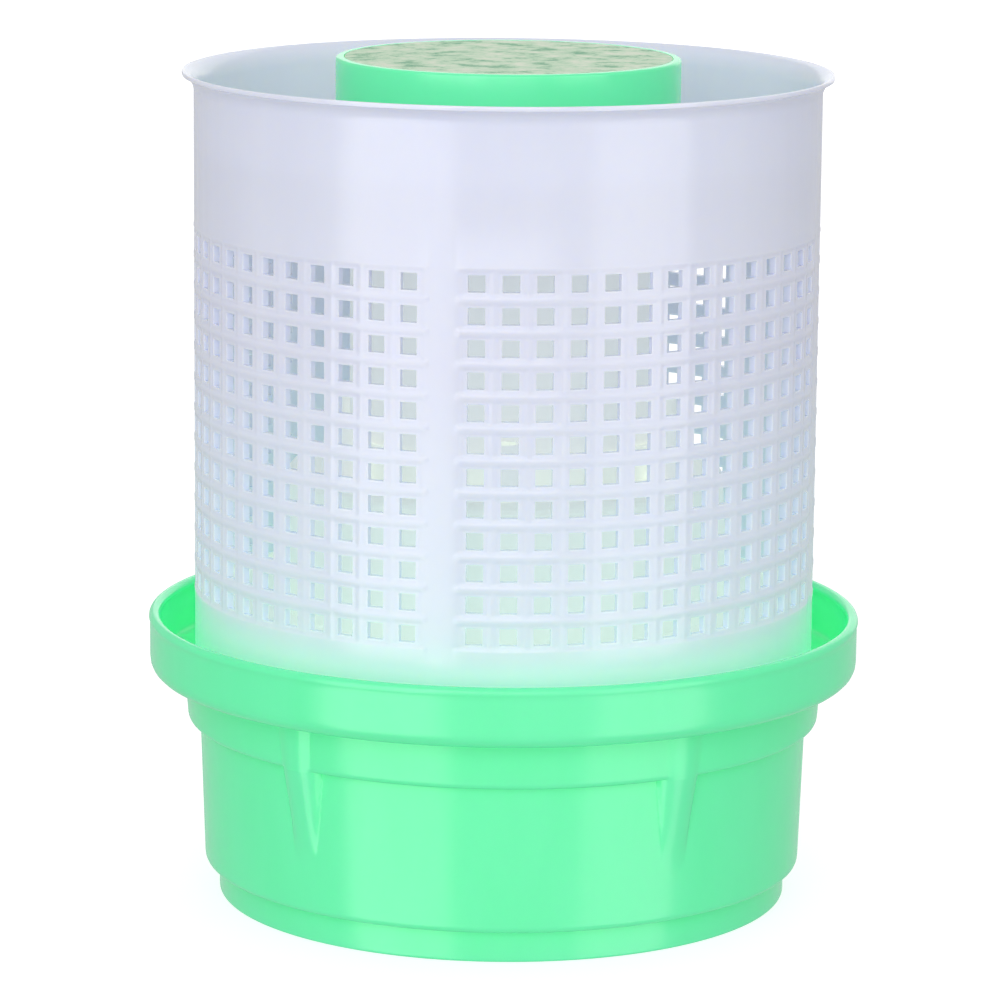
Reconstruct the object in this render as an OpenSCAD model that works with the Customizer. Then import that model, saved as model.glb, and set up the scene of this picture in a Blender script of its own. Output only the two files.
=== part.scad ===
// Wasp trap: green bait bowl, perforated milky cage, one-way dome and a central bait jar with a screw cap.
// Millimetres, +Z up, front towards -Y, origin on the floor at the centre of the foot ring.

/* [Bowl] */
// Outer diameter of the bowl's beaded lip.
lip_diameter = 220; // [200:1:260]
// Height of the lip's top above the floor.
lip_height = 88.5; // [75:0.5:110]
// Outer diameter of the foot ring.
foot_diameter = 176.6; // [150:0.2:190]
// Height of the foot ring.
foot_height = 10; // [6:0.5:16]
// Outer diameter of the bowl's wall just above the foot.
wall_diameter_low = 185.4; // [170:0.2:188]
// Outer diameter of the bowl's wall just under the ring.
wall_diameter_high = 188.4; // [175:0.2:190]
// Height of the ring's lower edge.
ring_height = 55.2; // [45:0.2:65]
// Outer diameter of the ring at its lower edge.
ring_diameter = 195.8; // [193:0.2:200]
// Height of the underside of the lip.
lip_underside = 70; // [62:0.5:80]
// Wall thickness of the bowl.
bowl_wall = 2; // [1.6:0.1:3]
// Number of half-cone lugs round the bowl, with one entry arch over each.
lug_count = 5; // [3:1:8]
// Direction of the first lug, in degrees to the right of the front.
lug_angle = 33.2; // [0:0.1:72]
// Width of a lug where it leaves the ring.
lug_width = 18.4; // [12:0.2:24]
// Height of a lug's lower tip.
lug_tip_height = 27; // [20:1:40]

/* [Cage] */
// Outer diameter of the cage.
cage_diameter = 191.4; // [180:0.2:200]
// Height of the cage's rim above the floor.
rim_height = 256; // [220:1:300]
// Wall thickness of the cage.
cage_wall = 2.4; // [1.8:0.1:3]
// Side of one square hole.
hole_size = 5; // [4:0.1:6]
// Number of rows of holes.
hole_rows = 12; // [6:1:16]
// Height of the centre of the lowest row.
first_row_height = 100.4; // [96:0.2:120]
// Distance between rows.
row_pitch = 9.45; // [8:0.05:12]
// Holes between two plain strips.
holes_per_strip = 14; // [10:1:16]
// Number of plain upright strips.
strip_count = 4; // [2:1:6]
// Direction of the first strip, in degrees to the right of the front.
strip_angle = -11.2; // [-45:0.1:45]
// Width of an entry arch.
arch_width = 13; // [9:0.5:18]
// Height of the top of an entry arch above the floor.
arch_top = 84; // [80:0.5:86]

/* [Dome] */
// Outer diameter of the dome at its foot.
dome_diameter = 139; // [120:0.5:150]
// Outer diameter of the dome at its shoulder.
shoulder_diameter = 135; // [118:0.5:148]
// Height of the dome's shoulder.
shoulder_height = 135; // [120:1:160]
// Number of one-way exit cones on the shoulder.
cone_count = 6; // [3:1:8]
// Height of one exit cone above the shoulder.
cone_height = 16; // [10:1:22]
// Width of the opening at a cone's tip.
cone_opening = 7; // [6:0.5:9]

/* [Jar and cap] */
// Outer diameter of the bait jar.
jar_diameter = 96; // [80:0.5:100]
// Height of the jar's bottom above the floor.
jar_bottom = 62; // [58:1:80]
// Outer diameter of the screw cap.
cap_diameter = 105.2; // [90:0.2:110]
// Height of the cap's top above the floor.
cap_top = 260; // [250:0.5:305]
// Height of the cap's skirt.
cap_height = 20; // [16:0.5:26]
// Rise of the cap in one turn.
thread_pitch = 6; // [4:0.5:8]
// Turns of thread.
thread_turns = 1.25; // [1:0.05:1.5]

/* [Hidden] */
$fn = 96;
overlap = 0.4;
green = [0.48, 0.98, 0.72];
milky = [0.88, 0.90, 0.96];

// Bowl
foot_r = foot_diameter / 2;
wall_r_low = wall_diameter_low / 2;
wall_r_high = wall_diameter_high / 2;
ring_r = ring_diameter / 2;
ring_r_top = ring_r + 1.1;
bead_r = 1.7;
lip_r = lip_diameter / 2 - 0.5;
lip_corner = 5;
lip_x = lip_r - lip_corner;
lip_z = lip_underside + lip_corner;
foot_fillet = wall_r_low - foot_r - 0.4;
ring_fillet = 2.5;
floor_low = 2.4;
lug_tip_r = 1.2;
lug_full_z = ring_height - 2.2;
lug_proud = 0.7;
lug_hollow_r = ring_r - bowl_wall - 0.4;
ledge_z = ring_height + bowl_wall;
moat_z = lip_underside + bowl_wall;
fit_gap = 0.35;

// Cage
cage_r = cage_diameter / 2;
cage_bore = cage_r - cage_wall;
panel_angle = 360 / strip_count;
column_angle = panel_angle / (holes_per_strip + 1);
side_columns = round(holes_per_strip * 2 / 7);
panels_per_bay = 3;
band_height = row_pitch - hole_size;
mesh_low = first_row_height - row_pitch / 2 - band_height / 2;
mesh_high = first_row_height + row_pitch * (hole_rows - 0.5) + band_height / 2;
arch_low = moat_z + 1;
dome_seat_z = 90;
dome_seat_height = 2;
dome_seat_r = cage_bore - 2;
cover_seat_z = 228;
cover_step = 1;
flare_radius = 5;
flare_wall = cage_wall - cover_step;
flare_end_angle = 105;
tab_width = 8;
tab_drop = 5;
tab_thickness = 1.5;

// Dome and exit cones
dome_wall = 1.6;
flange_height = 1.8;
shoulder_r = shoulder_diameter / 2;
shoulder_fillet = 5;
jar_clearance = 0.5;
collar_wall = 2;
collar_height = 10;
jar_r = jar_diameter / 2;
collar_r = jar_r + jar_clearance + collar_wall;
cone_circle_r = (collar_r + shoulder_r - shoulder_fillet / 2) / 2;
cone_hole_r = 5.9;
cone_gap = 0.1;
cone_wall = 1;
cone_flange_r = 7;
cone_flange_height = 1.2;

// Cover
cover_r = cage_bore + cover_step - fit_gap;
cover_plate = 1.8;
cover_rim_height = 5;
cover_collar_top = 234;
cover_rib_height = 3;
cover_rib_count = 6;
grip_length = 26;
grip_height = 5;

// Jar, liner, cap and disc
jar_wall = 1.6;
jar_floor = 2;
jar_flange_r = jar_r + 6;
jar_flange_height = 2;
slot_count = 16;
slot_width = 3;
slot_low = jar_bottom + 6;
slot_height = 22;
cap_r = cap_diameter / 2;
cap_wall = 2.2;
cap_edge = 1.8;
cap_plate = 2.3;
liner_height = 1.2;
liner_r = jar_r - 0.1;
disc_r = cap_r - cap_edge - 0.6;
disc_depth = 0.8;
disc_height = 0.9;
jar_top = cap_top - cap_plate - liner_height;
thread_start = cap_top - cap_height + 3.5;
thread_root_width = 2.2;
thread_crest_width = 1;
jar_thread_r = jar_r + 1.6;
cap_thread_r = jar_r + 0.8;
thread_steps = 36;
sponge_r = jar_r - jar_wall - 1;
sponge_height = 26;

// Points of an arc round (x, z), from angle a to angle b.
function arc(x, z, r, a, b, steps = 6) =
    [for (i = [0:steps]) [x + r * cos(a + (b - a) * i / steps), z + r * sin(a + (b - a) * i / steps)]];

// Turns a child that lies along +X so that it points a degrees to the right of the front.
module facing(a) {
    rotate(a - 90)
        children();
}

// A ring of rectangular section.
module band(inner_r, outer_r, low, high) {
    rotate_extrude()
        translate([inner_r, low])
            square([outer_r - inner_r, high - low]);
}

// A ring of rectangular section that spans only part of a turn, counted to the right.
module band_sector(from, angle, inner_r, outer_r, low, high) {
    rotate(from - 90)
        rotate_extrude(angle = angle)
            translate([inner_r, low])
                square([outer_r - inner_r, high - low]);
}

// Helical ridge that stands on radius base_r, reaches tip_r and fades out at both ends.
module thread_ridge(base_r, tip_r, low, turns) {
    steps = round(thread_steps * turns);
    outward = tip_r > base_r ? 1 : -1;
    root_r = base_r - outward * overlap;
    points = [for (i = [0:steps])
        let (a = 360 * i / thread_steps,
             z = low + thread_pitch * i / thread_steps,
             rise = min(1, (i + 0.4) / 3, (steps - i + 0.4) / 3),
             crest_r = base_r + (tip_r - base_r) * rise)
        each [[root_r * cos(a), root_r * sin(a), z - thread_root_width / 2],
              [crest_r * cos(a), crest_r * sin(a), z - thread_crest_width / 2],
              [crest_r * cos(a), crest_r * sin(a), z + thread_crest_width / 2],
              [root_r * cos(a), root_r * sin(a), z + thread_root_width / 2]]];
    sides = [for (i = [0:steps - 1])
        for (k = [0:3])
            [4 * i + k, 4 * i + (k + 1) % 4, 4 * i + 4 + (k + 1) % 4, 4 * i + 4 + k]];
    ends = [[3, 2, 1, 0], [4 * steps, 4 * steps + 1, 4 * steps + 2, 4 * steps + 3]];
    faces = concat(sides, ends);
    polyhedron(points, outward > 0 ? faces : [for (f = faces) [for (k = [len(f) - 1:-1:0]) f[k]]]);
}

// Outline of the bowl's floor, wall and ring, revolved about Z.
module bowl_outline() {
    inner_foot_r = foot_r - 2.3;
    floor_top = floor_low + bowl_wall;
    fillet_z = foot_height + foot_fillet;
    fillet_x = wall_r_low - foot_fillet;
    polygon(concat(
        [[0, floor_low], [inner_foot_r, floor_low], [inner_foot_r, 0], [foot_r - 0.8, 0], [foot_r, 0.8]],
        [[foot_r, foot_height]],
        arc(fillet_x, fillet_z, foot_fillet, -90, 0),
        [[wall_r_high, ring_height]],
        arc(ring_r - ring_fillet, ring_height + ring_fillet, ring_fillet, -90, 0),
        [[ring_r_top, lip_underside], [cage_r + fit_gap, lip_underside]],
        [[cage_r + fit_gap, ledge_z], [wall_r_high - bowl_wall, ledge_z]],
        arc(fillet_x, fillet_z, foot_fillet - bowl_wall, 0, -90),
        [[inner_foot_r, foot_height + bowl_wall], [inner_foot_r, floor_top + 2]],
        [[inner_foot_r - 2, floor_top], [0, floor_top]]));
}

// Shape common to a revolved outline and an upright cone that widens to full_r, then runs straight.
module lug_shape(tip_z, full_r, top) {
    cone_top_r = lug_tip_r + (full_r - lug_tip_r) * (top - tip_z) / (lug_full_z - tip_z);
    intersection() {
        translate([wall_r_high - 1, 0, tip_z])
            cylinder(h = top - tip_z, r1 = lug_tip_r, r2 = cone_top_r);
        translate([wall_r_high - 1, 0, tip_z])
            cylinder(h = top - tip_z, r = full_r);
        rotate(-15)
            rotate_extrude(angle = 30)
                children();
    }
}

// A lug's body: it slopes out of the wall and ends just proud of the ring, under the lip.
module lug_body() {
    low = lug_tip_height - 1;
    top = lip_underside - overlap;
    lug_shape(lug_tip_height, lug_width / 2, top + 1)
        polygon([[wall_r_low - 1, low], [wall_r_low + 0.6, low], [ring_r + lug_proud, ring_height],
                 [ring_r_top + lug_proud, top], [ring_r - 0.8, top], [ring_r - 0.8, ledge_z - 1],
                 [wall_r_high - 1, ledge_z - 1]]);
}

// The hollow inside a lug, open to the bowl and up through the ledge.
module lug_hollow() {
    low = lug_tip_height + 3 * bowl_wall;
    top = ledge_z + overlap;
    lug_shape(low, lug_width / 2 - bowl_wall, top + 1)
        polygon([[wall_r_high - 12, low - 1], [wall_r_low + 0.4 - bowl_wall, low - 1],
                 [lug_hollow_r, ring_height], [lug_hollow_r, top], [wall_r_high - 12, top]]);
}

// Bowl: foot ring, wall, hollow lugs, ring with the ledge that carries the cage.
module bait_bowl() {
    color(green)
        difference() {
            union() {
                rotate_extrude()
                    bowl_outline();
                for (i = [0:lug_count - 1])
                    facing(lug_angle + 360 / lug_count * i)
                        lug_body();
            }
            for (i = [0:lug_count - 1])
                facing(lug_angle + 360 / lug_count * i)
                    lug_hollow();
        }
}

// Floor of the moat, where wasps land: a flat ring on top of the bowl's ring.
module moat_floor() {
    color(green)
        rotate_extrude()
            polygon([[cage_r + fit_gap, lip_underside], [lip_x, lip_underside], [lip_x, moat_z],
                     [cage_r + fit_gap + 0.8, moat_z], [cage_r + fit_gap, moat_z - 0.8]]);
}

// Lip: rounded corner, wall of the moat and beaded top edge.
module bowl_lip() {
    color(green)
        rotate_extrude()
            polygon(concat(
                arc(lip_x, lip_z, lip_corner, -90, 0),
                arc(lip_diameter / 2 - bead_r, lip_height - bead_r, bead_r, -45, 225, 12),
                arc(lip_x, lip_z, lip_corner - bowl_wall, 0, -90)));
}

// Foot of the cage: plain ring that drops into the bowl, with a locating tab in each lug's hollow.
module cage_foot() {
    color(milky)
        union() {
            band(cage_bore, cage_r, ledge_z, arch_low);
            for (i = [0:lug_count - 1])
                facing(lug_angle + 360 / lug_count * i)
                    translate([cage_bore, -tab_width / 2, ledge_z - tab_drop])
                        cube([tab_thickness, tab_width, tab_drop + overlap]);
        }
}

// One arched entry, cut up from the foot of the entry ring.
module entry_arch() {
    spring_z = arch_top - arch_width / 2;
    translate([cage_bore - 3, -arch_width / 2, arch_low - 1])
        cube([cage_wall + 6, arch_width, spring_z - arch_low + 1]);
    translate([cage_bore - 3, 0, spring_z])
        rotate([0, 90, 0])
            cylinder(h = cage_wall + 6, r = arch_width / 2);
}

// Entry ring: the arches over the lugs, and inside it the seat that carries the dome.
module entry_ring() {
    color(milky)
        union() {
            difference() {
                band(cage_bore, cage_r, arch_low, mesh_low);
                for (i = [0:lug_count - 1])
                    facing(lug_angle + 360 / lug_count * i)
                        entry_arch();
            }
            band(dome_seat_r, cage_bore + overlap, dome_seat_z - dome_seat_height, dome_seat_z);
        }
}

// Mesh panel, upright bars crossed by slightly prouder level bands. A wide panel with a narrow
// one on each side fills the bay between two posts.
module mesh_panel(i) {
    bay = floor((i - 1) / panels_per_bay);
    place = (i - 1) % panels_per_bay;
    first = [0, side_columns, holes_per_strip - side_columns][place];
    columns = place == 1 ? holes_per_strip - 2 * side_columns : side_columns;
    start = strip_angle + panel_angle * bay + column_angle * (first + 0.5);
    width = column_angle * columns;
    color(milky)
        union() {
            difference() {
                band_sector(start, width, cage_bore + 0.2, cage_r - 0.3,
                            mesh_low + band_height / 2, mesh_high - band_height / 2);
                for (k = [1:columns])
                    facing(start + column_angle * (k - 0.5))
                        translate([cage_bore - 2, -hole_size / 2, mesh_low])
                            cube([cage_wall + 4, hole_size, mesh_high - mesh_low]);
            }
            for (k = [0:hole_rows])
                band_sector(start, width, cage_bore, cage_r + 0.1, mesh_low + row_pitch * k,
                            mesh_low + row_pitch * k + band_height);
        }
}

// Plain upright strip between two mesh panels.
module mesh_post(i) {
    color(milky)
        band_sector(strip_angle + panel_angle * (i - 1) - column_angle / 2, column_angle,
                    cage_bore, cage_r, mesh_low, mesh_high);
}

// Collar of the cage: plain top band with the cover's step inside, and the flared rim.
module cage_collar() {
    flare_x = cage_r + flare_radius;
    flare_z = rim_height - (flare_radius + flare_wall) * sin(flare_end_angle);
    color(milky)
        rotate_extrude()
            polygon(concat(
                [[cage_bore, mesh_high], [cage_r, mesh_high]],
                arc(flare_x, flare_z, flare_radius, 180, flare_end_angle),
                arc(flare_x, flare_z, flare_radius + flare_wall, flare_end_angle, 180),
                [[cage_bore + cover_step, cover_seat_z], [cage_bore, cover_seat_z]]));
}

// Flange of the dome: a flat ring with an upstand that closes the cage's foot.
module dome_flange() {
    inner_r = dome_diameter / 2 - dome_wall;
    outer_r = cage_bore - fit_gap;
    top = dome_seat_z + flange_height;
    color(milky)
        rotate_extrude()
            polygon([[inner_r, dome_seat_z], [outer_r, dome_seat_z], [outer_r, dome_seat_z + 4],
                     [outer_r - 1.5, dome_seat_z + 4], [outer_r - 1.5, top], [inner_r, top]]);
}

// Drum of the dome: the tapered wall between flange and roof.
module dome_drum() {
    low = dome_seat_z + flange_height;
    top = shoulder_height - shoulder_fillet;
    color(milky)
        rotate_extrude()
            polygon([[dome_diameter / 2 - dome_wall, low], [dome_diameter / 2, low], [shoulder_r, top],
                     [shoulder_r - dome_wall, top]]);
}

// Roof of the dome: rounded shoulder and flat ring with the holes for the exit cones.
module dome_roof() {
    fillet_x = shoulder_r - shoulder_fillet;
    fillet_z = shoulder_height - shoulder_fillet;
    color(milky)
        difference() {
            rotate_extrude()
                polygon(concat(
                    arc(fillet_x, fillet_z, shoulder_fillet, 0, 90),
                    [[collar_r, shoulder_height], [collar_r, shoulder_height - dome_wall]],
                    arc(fillet_x, fillet_z, shoulder_fillet - dome_wall, 90, 0)));
            for (i = [1:cone_count])
                facing(360 / cone_count * i)
                    translate([cone_circle_r, 0, shoulder_height - 3])
                        cylinder(h = 6, r = cone_hole_r);
        }
}

// Collar of the dome: the tube that the bait jar drops through.
module dome_collar() {
    color(milky)
        band(collar_r - collar_wall, collar_r,
             shoulder_height - dome_wall, shoulder_height + collar_height);
}

// One-way exit cone: spigot through the shoulder, flange, tapering spout.
module exit_cone(i) {
    spigot_r = cone_hole_r - cone_gap;
    base_z = shoulder_height - dome_wall;
    flange_z = shoulder_height + cone_flange_height;
    tip_z = shoulder_height + cone_height;
    tip_r = cone_opening / 2;
    color(milky)
        facing(360 / cone_count * i)
            translate([cone_circle_r, 0, 0])
                rotate_extrude($fn = 48)
                    polygon([[spigot_r - cone_wall, base_z], [spigot_r, base_z],
                             [spigot_r, shoulder_height], [cone_flange_r, shoulder_height],
                             [cone_flange_r, flange_z], [spigot_r, flange_z],
                             [tip_r + cone_wall, tip_z], [tip_r, tip_z], [spigot_r - cone_wall, flange_z]]);
}

// Ring-shaped cover: plate with ribs, outer rim, two finger grips, collar that carries the jar.
module cage_cover() {
    plate_top = cover_seat_z + cover_plate;
    color(milky)
        union() {
            band(collar_r - collar_wall, cover_r, cover_seat_z, plate_top);
            band(collar_r - collar_wall, collar_r, cover_seat_z, cover_collar_top);
            band(cover_r - 1.6, cover_r, cover_seat_z, cover_seat_z + cover_rim_height);
            for (i = [1:cover_rib_count])
                facing(360 / cover_rib_count * (i - 0.5))
                    translate([collar_r - overlap, -0.8, plate_top - overlap])
                        cube([cover_r - 1.6 - collar_r + 2 * overlap, 1.6, cover_rib_height]);
            for (side = [-1, 1])
                translate([side * (collar_r + cover_r) / 2 - 1.5, -grip_length / 2, plate_top - overlap])
                    cube([3, grip_length, grip_height]);
        }
}

// Bait jar: closed bottom, side slots, flange that hangs on the cover's collar, threaded neck.
module bait_jar() {
    color(milky)
        union() {
            difference() {
                rotate_extrude()
                    polygon([[0, jar_bottom], [jar_r - 2, jar_bottom], [jar_r, jar_bottom + 2],
                             [jar_r, cover_collar_top], [jar_flange_r, cover_collar_top],
                             [jar_flange_r, cover_collar_top + jar_flange_height],
                             [jar_r, cover_collar_top + jar_flange_height], [jar_r, jar_top],
                             [jar_r - jar_wall, jar_top], [jar_r - jar_wall, jar_bottom + jar_floor],
                             [0, jar_bottom + jar_floor]]);
                for (i = [1:slot_count])
                    facing(360 / slot_count * i)
                        translate([jar_r - jar_wall - 1, -slot_width / 2, slot_low])
                            cube([jar_wall + 2, slot_width, slot_height]);
            }
            thread_ridge(jar_r, jar_thread_r, thread_start, thread_turns);
        }
}

// Lure sponge at the bottom of the jar.
module bait_sponge() {
    low = jar_bottom + jar_floor;
    color([0.86, 0.78, 0.52])
        rotate_extrude()
            polygon([[0, low], [sponge_r - 1.5, low], [sponge_r, low + 1.5],
                     [sponge_r, low + sponge_height - 1.5], [sponge_r - 1.5, low + sponge_height],
                     [0, low + sponge_height]]);
}

// Sealing disc between the jar's mouth and the cap.
module cap_liner() {
    color([0.93, 0.93, 0.90])
        translate([0, 0, jar_top])
            cylinder(h = liner_height, r = liner_r);
}

// Screw cap: skirt with inner thread, rounded top edge, shallow recess for the disc.
module jar_cap() {
    skirt_low = cap_top - cap_height;
    inner_r = cap_r - cap_wall;
    color(green)
        union() {
            rotate_extrude()
                polygon(concat(
                    [[inner_r, skirt_low], [cap_r - 0.6, skirt_low], [cap_r, skirt_low + 0.6]],
                    arc(cap_r - cap_edge, cap_top - cap_edge, cap_edge, 0, 90),
                    [[disc_r + 0.1, cap_top], [disc_r + 0.1, cap_top - disc_depth]],
                    [[0, cap_top - disc_depth], [0, cap_top - cap_plate], [inner_r, cap_top - cap_plate]]));
            translate([0, 0, -thread_pitch / 2])
                thread_ridge(inner_r, cap_thread_r, thread_start + thread_pitch, thread_turns);
        }
}

// Mottled disc in the cap's recess.
module top_disc() {
    color([0.72, 0.80, 0.70])
        translate([0, 0, cap_top - disc_depth])
            cylinder(h = disc_height, r = disc_r);
}

bait_bowl();
moat_floor();
bowl_lip();
cage_foot();
entry_ring();
for (i = [1:strip_count * panels_per_bay])
    mesh_panel(i);
for (i = [1:strip_count])
    mesh_post(i);
cage_collar();
dome_flange();
dome_drum();
dome_roof();
dome_collar();
for (i = [1:cone_count])
    exit_cone(i);
cage_cover();
bait_jar();
bait_sponge();
cap_liner();
jar_cap();
top_disc();
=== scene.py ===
"""Wasp trap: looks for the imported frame. Lengths are in metres, and mm() turns millimetres into metres."""
import math

import bmesh
import bpy
from mathutils import Matrix, Vector, noise


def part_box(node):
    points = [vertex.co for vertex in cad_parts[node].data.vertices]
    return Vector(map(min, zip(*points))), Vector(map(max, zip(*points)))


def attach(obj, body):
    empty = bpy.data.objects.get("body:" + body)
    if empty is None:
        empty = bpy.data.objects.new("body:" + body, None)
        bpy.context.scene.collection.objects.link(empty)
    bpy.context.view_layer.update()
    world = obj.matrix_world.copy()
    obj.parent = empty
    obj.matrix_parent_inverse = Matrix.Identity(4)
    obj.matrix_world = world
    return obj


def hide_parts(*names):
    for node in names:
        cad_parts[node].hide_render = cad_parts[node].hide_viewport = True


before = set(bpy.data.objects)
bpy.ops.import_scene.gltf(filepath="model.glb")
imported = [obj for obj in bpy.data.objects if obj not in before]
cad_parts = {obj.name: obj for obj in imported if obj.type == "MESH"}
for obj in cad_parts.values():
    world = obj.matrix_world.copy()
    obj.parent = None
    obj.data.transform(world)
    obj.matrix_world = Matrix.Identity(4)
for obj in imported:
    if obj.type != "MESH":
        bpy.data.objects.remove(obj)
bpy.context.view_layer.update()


def mm(value):
    return value / 1000


# ---------------------------------------------------------------- sizes from the frame
def top_of(node):
    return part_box(node)[1].z


def bottom_of(node):
    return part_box(node)[0].z


def radius_of(node):
    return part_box(node)[1].x


LIP_R = radius_of("bowl_lip")
LIP_TOP = top_of("bowl_lip")
RIM_TOP = top_of("cage_collar")
RIM_R = radius_of("cage_collar")
CAP_R = radius_of("jar_cap")
CAP_TOP = top_of("jar_cap")
CAP_LOW = bottom_of("jar_cap")
DISC_R = radius_of("top_disc")
FILM_R = DISC_R - mm(0.2)
DISC_TOP = top_of("top_disc")
DISC_LOW = bottom_of("top_disc")
SPONGE_R = radius_of("bait_sponge")
SPONGE_LOW = bottom_of("bait_sponge")
SPONGE_TOP = top_of("bait_sponge")

# Bowl, repeated from the part's driving dimensions
FOOT_R = mm(88.3)
FOOT_H = mm(10)
WALL_R_LOW = mm(92.7)
WALL_R_HIGH = mm(94.2)
RING_Z = mm(55.2)
RING_R = mm(97.9)
RING_R_TOP = mm(99)
LIP_UNDER = mm(70)
BOWL_WALL = mm(2)
LEDGE_Z = RING_Z + BOWL_WALL
MOAT_Z = LIP_UNDER + BOWL_WALL
LUG_COUNT = 5
LUG_ANGLE = 33.2
LUG_HALF = mm(9)
LUG_TIP_Z = mm(27)
LUG_TIP_ROUND = mm(3)
LUG_ROOT = mm(0.4)
LUG_PROUD = mm(1)
LUG_TAPER = 0.108  # half width lost per height below the lip
LUG_SQUARENESS = 2.4  # 2 is a half ellipse, and more is squarer
FOOT_WALL = mm(2.3)
FOOT_RECESS = mm(2.4)
LIP_WALL_R = LIP_R - mm(0.3)
LIP_BEAD = mm(1.7)

# Cage
CAGE_R = mm(95.7)
CAGE_WALL = mm(2.4)
CAGE_BORE = CAGE_R - CAGE_WALL
HALF_HOLE = mm(2.5)
ROWS = 12
ROW_PITCH = mm(9.45)
FIRST_ROW = mm(100.4)
COLUMNS = 60
STRIP_EVERY = 15
STRIP_ANGLE = -11.2
SKIRT_TOP = FIRST_ROW - ROW_PITCH / 2
MESH_TOP = FIRST_ROW + ROW_PITCH * (ROWS - 0.5)
COVER_SEAT = mm(228)
COVER_STEP = mm(1)
ARCH_WIDTH = mm(13)
ARCH_TOP = mm(84)
DOME_SEAT = mm(90)
SEAT_WIDTH = mm(2)
LEDGE_R = CAGE_R + mm(0.35)
FLARE_R = mm(5)
FLARE_WALL = CAGE_WALL - COVER_STEP
FLARE_END = 108  # degrees round the flare's arc, where 180 is upright


# ---------------------------------------------------------------- mesh helpers
def new_object(name, vertices, faces, sharp_angle=35):
    mesh = bpy.data.meshes.new(name)
    mesh.from_pydata([tuple(v) for v in vertices], [], faces)
    mesh.validate()
    obj = bpy.data.objects.new(name, mesh)
    bpy.context.scene.collection.objects.link(obj)
    finish_mesh(obj, sharp_angle)
    return obj


def finish_mesh(obj, sharp_angle=35):
    """Faces point outwards, shade smooth, and edges sharper than sharp_angle stay crisp."""
    mesh = obj.data
    bm = bmesh.new()
    bm.from_mesh(mesh)
    bmesh.ops.remove_doubles(bm, verts=bm.verts, dist=1e-6)
    bmesh.ops.recalc_face_normals(bm, faces=bm.faces)
    limit = math.radians(sharp_angle)
    for edge in bm.edges:
        edge.smooth = not (len(edge.link_faces) == 2 and edge.calc_face_angle(0) > limit)
    for face in bm.faces:
        face.smooth = True
    bm.to_mesh(mesh)
    bm.free()
    mesh.update()


def polar(r, degrees, z):
    """A point at radius r, degrees to the right of the front."""
    a = math.radians(degrees)
    return Vector((r * math.sin(a), -r * math.cos(a), z))


def arc(x, z, r, a, b, steps):
    out = []
    for i in range(steps + 1):
        t = math.radians(a + (b - a) * i / steps)
        out.append((x + r * math.cos(t), z + r * math.sin(t)))
    return out


def round_corners(points, radius, steps=4):
    """Rounds each corner of an open outline of (x, z, radius factor) points."""
    out = [points[0][:2]]
    for before, here, after in zip(points, points[1:], points[2:]):
        factor = here[2] if len(here) > 2 else 1
        p = Vector(here[:2])
        a = Vector(before[:2]) - p
        b = Vector(after[:2]) - p
        cut = min(radius * factor, a.length * 0.45, b.length * 0.45)
        if cut < 1e-7:
            out.append(tuple(p))
            continue
        start = p + a.normalized() * cut
        end = p + b.normalized() * cut
        for i in range(steps + 1):
            t = i / steps
            q = start * (1 - t) ** 2 + p * 2 * t * (1 - t) + end * t ** 2
            out.append((q.x, q.y))
    out.append(points[-1][:2])
    return out


def revolve(name, outline, angles, relief=None, sharp_angle=40):
    """Revolves an open outline of (x, z) points about Z at the given angles.

    relief(r, degrees, z, index) gives a point its new radius.
    """
    vertices = []
    rows = len(outline)
    for degrees in angles:
        for index, (r, z) in enumerate(outline):
            if relief:
                r = relief(r, degrees, z, index)
            vertices.append(polar(r, degrees, z))
    count = len(angles)
    faces = []
    for i in range(count):
        j = (i + 1) % count
        for k in range(rows - 1):
            faces.append((i * rows + k, j * rows + k, j * rows + k + 1, i * rows + k + 1))
    return new_object(name, vertices, faces, sharp_angle)


def even_angles(count):
    return [360 * i / count for i in range(count)]


def subdivide(points, step):
    """Puts points about step apart along an open outline."""
    out = []
    for (x0, z0), (x1, z1) in zip(points, points[1:]):
        n = max(1, int(math.hypot(x1 - x0, z1 - z0) / step + 0.5))
        for i in range(n):
            out.append((x0 + (x1 - x0) * i / n, z0 + (z1 - z0) * i / n))
    out.append(points[-1])
    return out


# ---------------------------------------------------------------- materials
def node_tree(name):
    material = bpy.data.materials.new(name)
    material.use_nodes = True
    nodes = material.node_tree.nodes
    links = material.node_tree.links
    shader = nodes["Principled BSDF"]
    return material, nodes, links, shader


def ramp(nodes, links, source, stops):
    node = nodes.new("ShaderNodeValToRGB")
    elements = node.color_ramp.elements
    while len(elements) < len(stops):
        elements.new(0.5)
    for element, (position, color) in zip(elements, stops):
        element.position = position
        element.color = (*color, 1)
    links.new(source, node.inputs["Fac"])
    return node.outputs["Color"]


def noise_texture(nodes, links, scale, detail=3, roughness=0.5, stretch=None):
    coordinates = nodes.new("ShaderNodeTexCoord")
    mapping = nodes.new("ShaderNodeMapping")
    if stretch:
        mapping.inputs["Scale"].default_value = stretch
    texture = nodes.new("ShaderNodeTexNoise")
    texture.inputs["Scale"].default_value = scale
    texture.inputs["Detail"].default_value = detail
    texture.inputs["Roughness"].default_value = roughness
    links.new(coordinates.outputs["Object"], mapping.inputs["Vector"])
    links.new(mapping.outputs["Vector"], texture.inputs["Vector"])
    return texture.outputs["Fac"]


def span(nodes, links, source, low, high):
    node = nodes.new("ShaderNodeMapRange")
    node.inputs["To Min"].default_value = low
    node.inputs["To Max"].default_value = high
    links.new(source, node.inputs["Value"])
    return node.outputs["Result"]


def bump(nodes, links, shader, source, strength, distance):
    node = nodes.new("ShaderNodeBump")
    node.inputs["Strength"].default_value = strength
    node.inputs["Distance"].default_value = distance
    links.new(source, node.inputs["Height"])
    links.new(node.outputs["Normal"], shader.inputs["Normal"])


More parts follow.
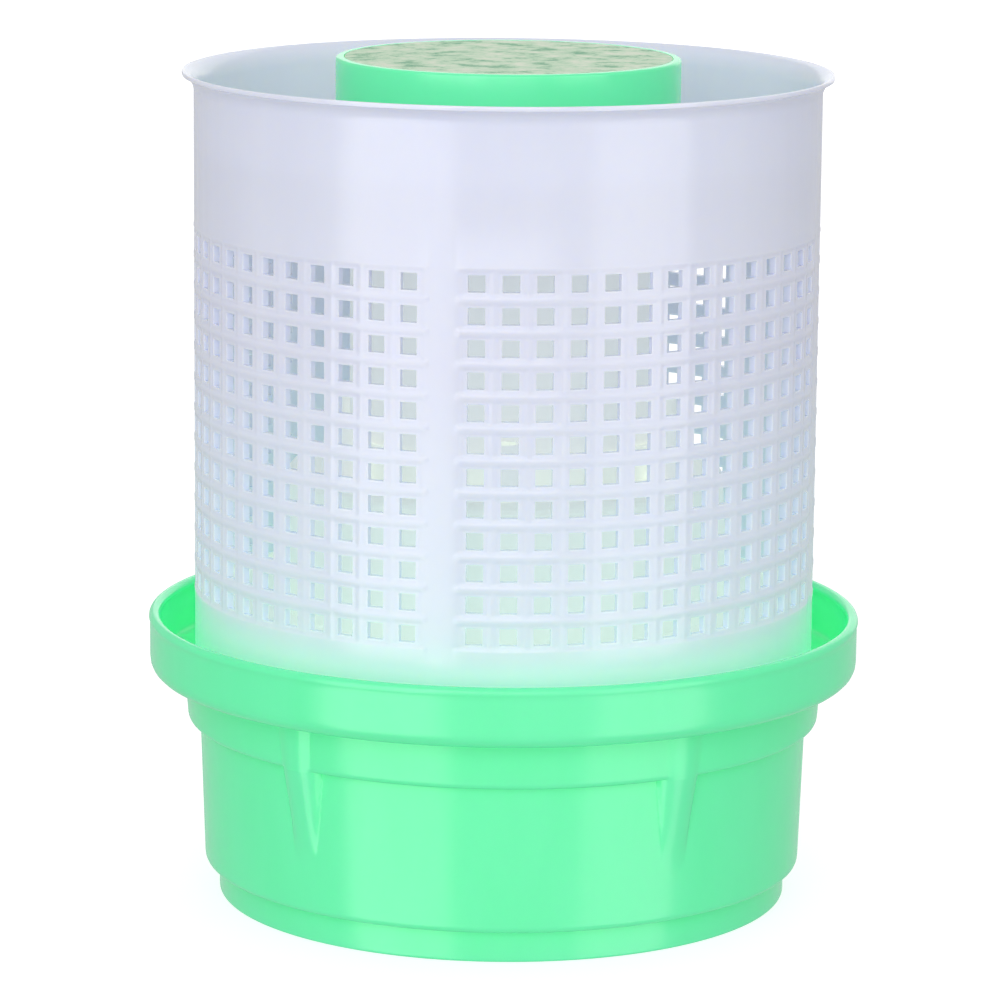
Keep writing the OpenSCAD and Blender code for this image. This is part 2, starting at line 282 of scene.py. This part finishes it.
def moulded_plastic(name, dark, light, roughness, subsurface, radius, depth, painted_glow=(0, 0, 0)):
    """Moulded polypropylene: faint flow marks, a fine sheen pattern and light scattered under the skin; the
    last argument adds an even painted glow, given off as emission.
    """
    material, nodes, links, shader = node_tree(name)
    flow = noise_texture(nodes, links, 26, 4, 0.6, (1, 1, 0.35))
    links.new(ramp(nodes, links, flow, [(0.3, dark), (0.7, light)]), shader.inputs["Base Color"])
    sheen = noise_texture(nodes, links, 420, 2)
    links.new(span(nodes, links, sheen, roughness - 0.05, roughness + 0.07), shader.inputs["Roughness"])
    skin = noise_texture(nodes, links, 900, 2)
    bump(nodes, links, shader, skin, 0.05, mm(0.05))
    shader.inputs["IOR"].default_value = 1.49
    shader.inputs["Subsurface Weight"].default_value = subsurface
    shader.inputs["Subsurface Radius"].default_value = radius
    shader.inputs["Subsurface Scale"].default_value = depth
    shader.inputs["Emission Color"].default_value = (*painted_glow, 1)
    shader.inputs["Emission Strength"].default_value = 1.0
    return material


def painted_glow_by_height(material, low, high, stops):
    """Painted glow: emission coloured by height above the floor, standing in for light passed on inside the
    cage and near the bowl.
    """
    nodes = material.node_tree.nodes
    links = material.node_tree.links
    place = nodes.new("ShaderNodeNewGeometry")
    split = nodes.new("ShaderNodeSeparateXYZ")
    height = nodes.new("ShaderNodeMapRange")
    height.inputs["From Min"].default_value = low
    height.inputs["From Max"].default_value = high
    links.new(place.outputs["Position"], split.inputs["Vector"])
    links.new(split.outputs["Z"], height.inputs["Value"])
    shader = nodes["Principled BSDF"]
    links.new(ramp(nodes, links, height.outputs["Result"], stops), shader.inputs["Emission Color"])


def printed_film(name):
    """Mottled printed film: grey-beige ground with greener, darker veins."""
    material, nodes, links, shader = node_tree(name)
    veins = noise_texture(nodes, links, 120, 8, 0.72)
    color = ramp(nodes, links, veins, [(0.38, (0.20, 0.48, 0.28)), (0.47, (0.56, 0.77, 0.54)),
                                       (0.62, (0.80, 0.87, 0.70))])
    links.new(color, shader.inputs["Base Color"])
    shader.inputs["Roughness"].default_value = 0.6
    shader.inputs["Specular IOR Level"].default_value = 0.25
    bump(nodes, links, shader, veins, 0.5, mm(0.3))
    return material


def foam(name):
    """Open-cell foam: pitted, dry and soft, with the pits painted darker as shade."""
    material, nodes, links, shader = node_tree(name)
    coordinates = nodes.new("ShaderNodeTexCoord")
    cells = nodes.new("ShaderNodeTexVoronoi")
    cells.inputs["Scale"].default_value = 620
    links.new(coordinates.outputs["Object"], cells.inputs["Vector"])
    # Darker where the cells sink: painted shade in the pits.
    color = ramp(nodes, links, cells.outputs["Distance"],
                 [(0.05, (0.38, 0.28, 0.10)), (0.45, (0.80, 0.68, 0.36))])
    links.new(color, shader.inputs["Base Color"])
    shader.inputs["Roughness"].default_value = 0.95
    shader.inputs["Sheen Weight"].default_value = 0.3
    bump(nodes, links, shader, cells.outputs["Distance"], 0.8, mm(0.8))
    return material


def sealing_foam(name):
    """Pressed white sealing disc with a faint grain."""
    material, nodes, links, shader = node_tree(name)
    grain = noise_texture(nodes, links, 700, 3)
    color = ramp(nodes, links, grain, [(0.3, (0.74, 0.74, 0.70)), (0.7, (0.86, 0.86, 0.82))])
    links.new(color, shader.inputs["Base Color"])
    shader.inputs["Roughness"].default_value = 0.7
    bump(nodes, links, shader, grain, 0.3, mm(0.1))
    return material


def glowing(name, base, strength):
    """A plain surface that gives off white light."""
    material, *_, shader = node_tree(name)
    shader.inputs["Base Color"].default_value = (base, base, base, 1)
    shader.inputs["Emission Color"].default_value = (1, 1, 1, 1)
    shader.inputs["Emission Strength"].default_value = strength
    return material, shader


# The green plastic's faint green emission is a painted glow that brightens the green.
GREEN = moulded_plastic("green_polypropylene", (0.155, 0.93, 0.45), (0.18, 0.96, 0.49), 0.18, 0.35,
                        (0.4, 1.0, 0.6), mm(2), (0.0, 0.075, 0.02))
MILKY = moulded_plastic("milky_polypropylene", (0.745, 0.765, 0.89), (0.775, 0.795, 0.91), 0.18, 1.0,
                        (1.0, 0.9, 0.75), mm(1.3))
# Painted glow on the cage: mint emission low down stands in for green light from the bowl, fading to a faint
# even glow higher up.
painted_glow_by_height(MILKY, mm(70), mm(180), [(0.0, (0.10, 0.26, 0.20)), (0.27, (0.035, 0.10, 0.075)),
                                         (1.0, (0.03, 0.03, 0.03))])
INNER = moulded_plastic("inner_polypropylene", (0.83, 0.83, 0.85), (0.85, 0.85, 0.87), 0.3, 0.0,
                        (1.0, 1.0, 1.0), mm(5))
# The dome's slightly greener base colour is painted green light from the bowl.
DOME = moulded_plastic("dome_polypropylene", (0.82, 0.86, 0.835), (0.84, 0.88, 0.855), 0.3, 0.0,
                       (1.0, 1.0, 1.0), mm(5))
# Painted glow inside the cage: emission by height brightens the inner parts so the holes look lit, and fades
# out near the top of the cage.
for plastic in (INNER, DOME):
    painted_glow_by_height(plastic, mm(70), mm(250), [(0.0, (0.16, 0.22, 0.16)), (0.35, (0.20, 0.21, 0.165)),
                                               (0.75, (0.20, 0.20, 0.165)), (0.87, (0.0, 0.0, 0.0))])
FILM = printed_film("mottled_film")
FOAM = foam("open_cell_foam")
LINER = sealing_foam("sealing_disc")


def paint(obj, material):
    obj.data.materials.clear()
    obj.data.materials.append(material)


# ---------------------------------------------------------------- bowl
def degrees_off_lug(degrees):
    """Degrees from the middle of the nearest lug."""
    step = 360 / LUG_COUNT
    return (degrees - LUG_ANGLE + step / 2) % step - step / 2


def smooth_max(a, b, soft):
    h = max(0.0, min(1.0, 0.5 + 0.5 * (a - b) / soft))
    return b + (a - b) * h + soft * h * (1 - h)


def lug_radius(degrees, z):
    """Outer radius of a half-round lug at this place, or 0 outside it."""
    rise = (z - LUG_TIP_Z) / (RING_Z - LUG_TIP_Z)
    root = WALL_R_LOW + LUG_ROOT
    crest = root + (RING_R + LUG_PROUD - root) * min(1.0, rise)
    crest += (RING_R_TOP - RING_R) * max(0.0, rise - 1) * (RING_Z - LUG_TIP_Z) / (LIP_UNDER - RING_Z)
    half = LUG_HALF - LUG_TAPER * (LIP_UNDER - z)
    tip_top = LUG_TIP_Z + LUG_TIP_ROUND
    if z < tip_top:
        half *= math.sqrt(max(0.0, 1 - ((tip_top - z) / (LUG_TIP_ROUND + mm(1))) ** 2))
    across = abs(math.radians(degrees_off_lug(degrees))) * RING_R
    if across >= half or rise < -0.1:
        return 0.0
    bulge = (1 - (across / half) ** LUG_SQUARENESS) ** (1 / LUG_SQUARENESS)
    return WALL_R_LOW + (crest - WALL_R_LOW) * bulge


def bowl_relief(r, degrees, z, index):
    """Blends the lugs into the outside of the wall."""
    beside_lugs = z < LUG_TIP_Z - LUG_TIP_ROUND or z > LIP_UNDER + mm(1) or r > RING_R_TOP + mm(2)
    if index >= BOWL_OUTER_POINTS or beside_lugs:
        return r
    return smooth_max(r, lug_radius(degrees, z), mm(0.7))


def bowl_outline():
    """The bowl's outline, and how many of its points are on the outside."""
    foot_bore = FOOT_R - FOOT_WALL
    outer = [
        (0, FOOT_RECESS), (foot_bore, FOOT_RECESS), (foot_bore, 0), (FOOT_R, 0),
        (FOOT_R, FOOT_H), (WALL_R_LOW, FOOT_H, 4), (WALL_R_HIGH, RING_Z, 1), (RING_R, RING_Z, 2.6),
        (RING_R_TOP, LIP_UNDER, 1.2), (LIP_WALL_R, LIP_UNDER, 5), (LIP_WALL_R, LIP_TOP - mm(2.8)),
    ]
    inner = [
        (LIP_R - mm(2.9), LIP_TOP - mm(2.9)), (LIP_R - mm(2.5), MOAT_Z, 3), (LEDGE_R, MOAT_Z, 0.8),
        (LEDGE_R, LEDGE_Z, 0.5), (WALL_R_HIGH - BOWL_WALL, LEDGE_Z, 0.5),
        (WALL_R_LOW - BOWL_WALL, FOOT_H + BOWL_WALL, 2), (foot_bore, FOOT_H + BOWL_WALL, 1),
        (foot_bore, FOOT_RECESS + BOWL_WALL, 2), (0, FOOT_RECESS + BOWL_WALL),
    ]
    rounded_outer = round_corners(outer, mm(1), 5)
    rounded_inner = round_corners(inner, mm(1), 4)
    crown = arc(LIP_R - LIP_BEAD, LIP_TOP - LIP_BEAD, LIP_BEAD, -20, 210, 14)
    outer_points = rounded_outer[:1] + subdivide(rounded_outer[1:], mm(1.25))
    return outer_points + crown + subdivide(rounded_inner, mm(4)), len(outer_points)


def lug_angles():
    """Angles round the bowl, close together over each lug."""
    out = []
    step = 360 / LUG_COUNT
    reach = 8
    on_lug = 64
    between = 46
    for lug in range(LUG_COUNT):
        middle = LUG_ANGLE + step * lug
        out += [middle - reach + 2 * reach * i / on_lug for i in range(on_lug)]
        out += [middle + reach + (step - 2 * reach) * i / between for i in range(between)]
    return out


BOWL_OUTLINE, BOWL_OUTER_POINTS = bowl_outline()


def make_bowl():
    bowl = revolve("bowl_shell", BOWL_OUTLINE, lug_angles(), bowl_relief)
    paint(bowl, GREEN)
    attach(bowl, "root")
    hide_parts("bait_bowl", "moat_floor", "bowl_lip")


# ---------------------------------------------------------------- cage
def both_sides(*offsets):
    """The offsets on both sides of a cell's middle, in rising order."""
    return [-offset for offset in reversed(offsets)] + list(offsets)


CELL_LINES = both_sides(HALF_HOLE, mm(3.2), mm(4.0), mm(4.5))
ROW_LINES = both_sides(HALF_HOLE, mm(3.5), mm(4.1))
CELL_SINK = mm(0.16)
UPRIGHT_EDGE = mm(4.3)
UPRIGHT_SINK = mm(0.02)
BAND_EDGE = mm(4.05)
BAND_RISE = mm(0.14)


def cage_columns():
    """(degrees, offset inside its cell, column) of every upright line of the cage."""
    out = []
    step = 360 / COLUMNS
    for column in range(COLUMNS):
        middle = STRIP_ANGLE + step * column
        for offset in CELL_LINES:
            out.append((middle + math.degrees(offset / CAGE_R), offset, column))
    return out


def cage_rows():
    """(height, offset inside its cell) of every level line of the mesh band."""
    out = [(SKIRT_TOP, -ROW_PITCH / 2)]
    for row in range(ROWS):
        middle = FIRST_ROW + ROW_PITCH * row
        for offset in ROW_LINES:
            out.append((middle + offset, offset))
        out.append((middle + ROW_PITCH / 2, ROW_PITCH / 2))
    return out


def in_strip(column):
    return column % STRIP_EVERY == 0


def mesh_radius(column, across, up):
    """Outer radius in the mesh band: sunk cells between raised level ridges and nearly flush uprights."""
    if in_strip(column) and abs(across) < UPRIGHT_EDGE:
        return CAGE_R
    if abs(up) > BAND_EDGE:
        return CAGE_R + BAND_RISE
    if abs(across) > UPRIGHT_EDGE:
        return CAGE_R - UPRIGHT_SINK
    return CAGE_R - CELL_SINK


def hole_starts(across, up, column):
    """Whether the low left corner of a hole is on these two lines."""
    return math.isclose(across, -HALF_HOLE) and math.isclose(up, -HALF_HOLE) and not in_strip(column)


def cage_top_outline():
    """From the top of the mesh up the outside, over the flared rim and down the inside."""
    flare_x = CAGE_R + FLARE_R
    flare_z = RIM_TOP - (FLARE_R + FLARE_WALL) * math.sin(math.radians(105))
    outside = [(CAGE_R, MESH_TOP + mm(rise)) for rise in (0.6, 14, 28)]
    outside += arc(flare_x, flare_z, FLARE_R, 180, FLARE_END, 8)
    edge = [(RIM_R - mm(0.1), RIM_TOP - mm(0.75)), (RIM_R - mm(0.25), RIM_TOP - mm(0.25))]
    inside = arc(flare_x, flare_z, FLARE_R + FLARE_WALL, FLARE_END, 180, 8)
    step_r = CAGE_BORE + COVER_STEP
    inside += [(step_r, COVER_SEAT + mm(10)), (step_r, COVER_SEAT), (CAGE_BORE, COVER_SEAT),
               (CAGE_BORE, MESH_TOP + mm(0.6))]
    return outside + edge + inside


def cage_skirt_outline():
    """From the inside of the mesh down past the dome's seat, under the skirt and up the outside."""
    seat_r = CAGE_BORE - SEAT_WIDTH
    inside = [(CAGE_BORE, DOME_SEAT), (seat_r, DOME_SEAT), (seat_r, DOME_SEAT - SEAT_WIDTH),
              (CAGE_BORE, DOME_SEAT - SEAT_WIDTH), (CAGE_BORE, LEDGE_Z)]
    outside = [(CAGE_R - mm(0.4), LEDGE_Z), (CAGE_R, LEDGE_Z + mm(0.4)), (CAGE_R, MOAT_Z),
               (CAGE_R, ARCH_TOP + mm(1.5)), (CAGE_R, SKIRT_TOP - mm(2))]
    return inside + outside


def make_cage():
    columns = cage_columns()
    rows = cage_rows()
    vertices = []
    faces = []

    def ring(radius_at, z):
        """A level ring of vertices. radius_at(column, across) gives their radii."""
        start = len(vertices)
        for degrees, across, column in columns:
            vertices.append(polar(radius_at(column, across), degrees, z))
        return start

    def plain_ring(r, z):
        return ring(lambda column, across: r, z)

    def join(low, high, closed_at=lambda i: True):
        for i in range(len(columns)):
            j = (i + 1) % len(columns)
            if closed_at(i):
                faces.append((low + i, low + j, high + j, high + i))

    def line_hole(out_low, out_high, in_low, in_high, i):
        """The four walls of one hole through the cage."""
        outside = [out_low + i, out_low + i + 1, out_high + i + 1, out_high + i]
        inside = [in_low + i, in_low + i + 1, in_high + i + 1, in_high + i]
        for k in range(4):
            m = (k + 1) % 4
            faces.append((outside[k], outside[m], inside[m], inside[k]))

    outer = []
    inner = []
    for z, up in rows:
        outer.append(ring(lambda column, across: mesh_radius(column, across, up), z))
        inner.append(plain_ring(CAGE_BORE, z))
    for k in range(len(rows) - 1):
        up = rows[k][1]
        holes = [i for i, (degrees, across, column) in enumerate(columns) if hole_starts(across, up, column)]
        closed = set(range(len(columns))) - set(holes)
        join(outer[k], outer[k + 1], closed.__contains__)
        join(inner[k], inner[k + 1], closed.__contains__)
        for i in holes:
            line_hole(outer[k], outer[k + 1], inner[k], inner[k + 1], i)

    top = [plain_ring(r, z) for r, z in cage_top_outline()]
    skirt = [plain_ring(r, z) for r, z in cage_skirt_outline()]
    for chain in ([outer[-1]] + top + [inner[-1]], [inner[0]] + skirt + [outer[0]]):
        for low, high in zip(chain, chain[1:]):
            join(low, high)

    cage = new_object("cage_shell", vertices, faces, 30)
    cut_arches(cage)
    finish_mesh(cage, 30)
    paint(cage, MILKY)
    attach(cage, "cage")
    replaced = ("cage_foot", "entry_ring", "mesh_", "cage_collar")
    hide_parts(*[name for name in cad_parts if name.startswith(replaced)])


def arch_cutter(degrees):
    """A block with a round top, as wide as an entry arch, that passes through the cage's wall."""
    half = ARCH_WIDTH / 2
    low = MOAT_Z + mm(1)
    spring = ARCH_TOP - half
    profile = [(-half, low), (half, low)] + arc(0, spring, half, 0, 180, 16)
    vertices = []
    for r in (CAGE_BORE - mm(3), CAGE_R + mm(3)):
        for x, z in profile:
            vertices.append(polar(r, degrees, z) + x * polar(1, degrees + 90, 0))
    n = len(profile)
    faces = [tuple(range(n)), tuple(range(2 * n - 1, n - 1, -1))]
    faces += [(i, n + i, n + (i + 1) % n, (i + 1) % n) for i in range(n)]
    return new_object("arch_cutter", vertices, faces)


def cut_arches(cage):
    for lug in range(LUG_COUNT):
        cutter = arch_cutter(LUG_ANGLE + 360 / LUG_COUNT * lug)
        modifier = cage.modifiers.new("arch", "BOOLEAN")
        modifier.operation = "DIFFERENCE"
        modifier.solver = "FAST"
        modifier.object = cutter
        bpy.context.view_layer.update()
        evaluated = cage.evaluated_get(bpy.context.evaluated_depsgraph_get())
        cut = bpy.data.meshes.new_from_object(evaluated)
        cage.modifiers.clear()
        cage.data = cut
        bpy.data.objects.remove(cutter)


# ---------------------------------------------------------------- cap, disc, sponge
def make_cap():
    inner_r = CAP_R - mm(2.2)
    inner_top = CAP_TOP - mm(2.3)
    recess_r = FILM_R + mm(0.1)
    outline = [
        (0, inner_top), (inner_r, inner_top, 1), (inner_r, CAP_LOW, 0.5), (CAP_R, CAP_LOW, 0.6),
        (CAP_R, CAP_TOP, 2.4), (recess_r, CAP_TOP, 0.1), (recess_r, DISC_LOW, 0.1), (0, DISC_LOW),
    ]
    points = round_corners(outline, mm(1), 6)
    cap = revolve("cap_shell", points, even_angles(192))
    paint(cap, GREEN)
    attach(cap, "cap")
    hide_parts("jar_cap")


def make_disc():
    rings = 60
    film_top = DISC_TOP - mm(0.12)
    outline = [(FILM_R * i / rings, film_top) for i in range(rings)]
    outline += [(FILM_R - mm(0.15), film_top), (FILM_R, DISC_TOP - mm(0.3)), (FILM_R, DISC_LOW),
                (0, DISC_LOW)]
    disc = revolve("top_film", outline, even_angles(192))
    for vertex in disc.data.vertices:
        if vertex.co.z >= DISC_TOP - mm(0.2):
            vertex.co.z += mm(0.1) * noise.noise(vertex.co * 190)
    paint(disc, FILM)
    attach(disc, "cap")
    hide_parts("top_disc")


def make_sponge():
    pit_depth = mm(0.5)
    outline = [(0, SPONGE_LOW), (SPONGE_R, SPONGE_LOW, 3), (SPONGE_R, SPONGE_TOP, 3), (0, SPONGE_TOP)]
    points = subdivide(round_corners(outline, mm(1), 6), mm(1.5))
    sponge = revolve("lure_sponge", points, even_angles(200), sharp_angle=60)
    for vertex in sponge.data.vertices:
        pit = 0.5 + 0.5 * noise.noise(vertex.co * 420)
        vertex.co -= Vector((vertex.co.x, vertex.co.y, 0)).normalized() * pit_depth * pit
        if vertex.co.z > SPONGE_TOP - mm(1):
            vertex.co.z -= pit_depth * pit
    paint(sponge, FOAM)
    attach(sponge, "jar")
    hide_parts("bait_sponge")


def paint_frame_parts():
    for name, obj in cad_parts.items():
        if name == "cap_liner":
            paint(obj, LINER)
        elif name.startswith("dome_"):
            paint(obj, DOME)
        elif name.startswith(("exit_cone", "cage_cover", "bait_jar")):
            paint(obj, INNER)


# ---------------------------------------------------------------- stage, light, camera
def make_floor():
    size = 12
    corners = [(-size, -size, 0), (size, -size, 0), (size, size, 0), (-size, size, 0)]
    floor = new_object("floor", corners, [(0, 1, 2, 3)])
    floor.location.z = -mm(0.2)
    floor.visible_glossy = False
    floor.visible_diffuse = False
    material, shader = glowing("pale_floor", 0.5, 0.72)
    shader.inputs["Roughness"].default_value = 0.9
    shader.inputs["Specular IOR Level"].default_value = 0.1
    paint(floor, material)


def softbox(name, place, size, power):
    """A square area light that looks at the middle of the trap."""
    light = bpy.data.lights.new(name, "AREA")
    light.shape = "SQUARE"
    light.size = size
    light.energy = power
    obj = bpy.data.objects.new(name, light)
    bpy.context.scene.collection.objects.link(obj)
    obj.location = place
    obj.rotation_euler = (Vector((0, 0, 0.12)) - place).to_track_quat("-Z", "Y").to_euler()


def reflection_card(name, start, end, distance, strength):
    """A tall glowing card from azimuth start to end, seen only in reflections."""
    corners = [polar(distance, start, -2), polar(distance, end, -2), polar(distance, end, 2.5),
               polar(distance, start, 2.5)]
    card = new_object(name, corners, [(0, 1, 2, 3)])
    card.visible_camera = False
    card.visible_diffuse = False
    card.visible_shadow = False
    card.visible_transmission = False
    material, shader = glowing(name, 0, strength)
    material.cycles.emission_sampling = "NONE"
    paint(card, material)


def make_lights():
    world = bpy.data.worlds.new("studio")
    bpy.context.scene.world = world
    world.use_nodes = True
    background = world.node_tree.nodes["Background"]
    background.inputs["Color"].default_value = (0.97, 0.98, 1.0, 1)
    background.inputs["Strength"].default_value = 0.60
    softbox("overhead", Vector((0, 0, 4)), 8, 28)
    softbox("key", polar(3, -6, 0.9), 2.5, 42)
    softbox("back", polar(3, 170, 1.1), 2.5, 12)
    reflection_card("left_card", -60, -19, 3, 3.0)
    reflection_card("front_card", -19, 30, 3, 1.0)
    reflection_card("right_card", 30, 68, 3, 2.5)


# The camera stands 1.47 m in front of the axis and 0.41 m up, turned 11.1 degrees down.
CAMERA_DISTANCE = 1.4726
CAMERA_HEIGHT = 0.41184
CAMERA_SIDE = -0.0011
CAMERA_PITCH = 11.126
CAMERA_ROLL = 0.519
CAMERA_LENS = 174.13


def make_camera():
    data = bpy.data.cameras.new("camera")
    data.lens = CAMERA_LENS
    data.sensor_width = 36
    camera = bpy.data.objects.new("camera", data)
    bpy.context.scene.collection.objects.link(camera)
    pitch = Matrix.Rotation(math.radians(90 - CAMERA_PITCH), 4, "X")
    roll = Matrix.Rotation(math.radians(CAMERA_ROLL), 4, "Z")
    camera.matrix_world = Matrix.Translation((CAMERA_SIDE, -CAMERA_DISTANCE, CAMERA_HEIGHT)) @ pitch @ roll
    bpy.context.scene.camera = camera
    bpy.context.scene.view_settings.view_transform = "Standard"
    bpy.context.scene.cycles.max_bounces = 24
    bpy.context.scene.cycles.diffuse_bounces = 20


make_camera()
make_bowl()
make_cage()
make_cap()
make_disc()
make_sponge()
paint_frame_parts()
make_floor()
make_lights()
